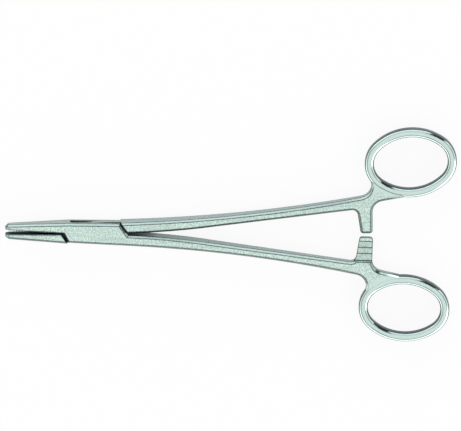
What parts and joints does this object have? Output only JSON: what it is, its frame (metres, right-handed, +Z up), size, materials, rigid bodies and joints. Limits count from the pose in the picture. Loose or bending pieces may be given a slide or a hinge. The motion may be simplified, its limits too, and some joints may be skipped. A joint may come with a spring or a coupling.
{
  "type": "needle holder",
  "caption": "Slim locking needle holder in satin steel: serrated jaws, box lock with flush rivet, toothed ratchet bars and two oval finger rings.",
  "frame": {"origin": "on the box lock's underside, on the rivet's axis", "axes": "+X from the rivet towards the finger rings, +Y towards the ring of the male half, +Z up through the box lock towards the face seen in the picture"},
  "size_m": [0.1596, 0.0794, 0.006],
  "materials": {
    "satin_steel": "fine satin, brushed along the shanks, brighter on worn edges"
  },
  "bodies": {
    "female_side": {"female_half": "satin_steel", "pivot_rivet": "satin_steel"},
    "male_side": {"male_half": "satin_steel"}
  },
  "joints": [
    {"name": "box_lock", "type": "hinge", "parent": "female_side", "child": "male_side", "pos_m": [0, 0, 0.003], "axis": [0, 0, 1], "range_deg": [-2.4, 47.6]}
  ]
}
